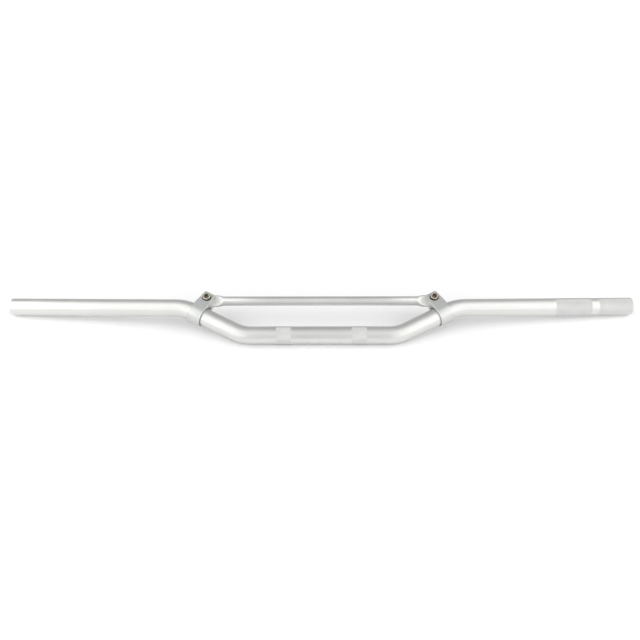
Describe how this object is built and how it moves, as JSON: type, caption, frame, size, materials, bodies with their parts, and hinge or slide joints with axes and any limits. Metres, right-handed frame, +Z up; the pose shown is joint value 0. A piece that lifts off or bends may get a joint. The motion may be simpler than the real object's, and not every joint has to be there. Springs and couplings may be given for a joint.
{
  "type": "motorcycle handlebar",
  "caption": "Low-rise off-road handlebar: a bent 22.2 mm aluminium tube with knurled clamping and grip areas, and a crossbar pinched in split clamps.",
  "frame": {"origin": "the middle of the straight section that the risers clamp, on the tube's axis", "axes": "+X to the rider's left grip, +Z up from the bench that the bar lies on with its rider's side down, +Y towards the crossbar and the bar ends"},
  "size_m": [0.8022, 0.0787, 0.0419],
  "materials": {
    "tube_aluminium": "satin, clear anodised",
    "clamp_aluminium": "fine blasted, clear anodised",
    "screw_steel": "bright zinc plated"
  },
  "bodies": {
    "handlebar": {"main_tube": "tube_aluminium", "crossbar": "tube_aluminium", "left_clamp": "clamp_aluminium", "right_clamp": "clamp_aluminium"},
    "left_washer": {"left_lock_washer": "screw_steel"},
    "left_bolt": {"left_clamp_bolt": "screw_steel"},
    "right_washer": {"right_lock_washer": "screw_steel"},
    "right_bolt": {"right_clamp_bolt": "screw_steel"}
  },
  "joints": [
    {"name": "left_bolt_advance", "type": "slide", "parent": "handlebar", "child": "left_washer", "axis": [0, -0.342, 0.9397], "range_m": [0, 0.0065]},
    {"name": "left_bolt_turn", "type": "hinge", "parent": "left_washer", "child": "left_bolt", "pos_m": [0.144, 0.04661, 0.01696], "axis": [0, -0.342, 0.9397], "range_deg": [0, 2340]},
    {"name": "right_bolt_advance", "type": "slide", "parent": "handlebar", "child": "right_washer", "axis": [0, -0.342, 0.9397], "range_m": [0, 0.0065]},
    {"name": "right_bolt_turn", "type": "hinge", "parent": "right_washer", "child": "right_bolt", "pos_m": [-0.144, 0.04661, 0.01696], "axis": [0, -0.342, 0.9397], "range_deg": [0, 2340]}
  ],
  "couplings": [
    {"joint": "left_bolt_turn", "follows": "left_bolt_advance", "rad_per_m": 6283.2},
    {"joint": "right_bolt_turn", "follows": "right_bolt_advance", "rad_per_m": 6283.2}
  ]
}
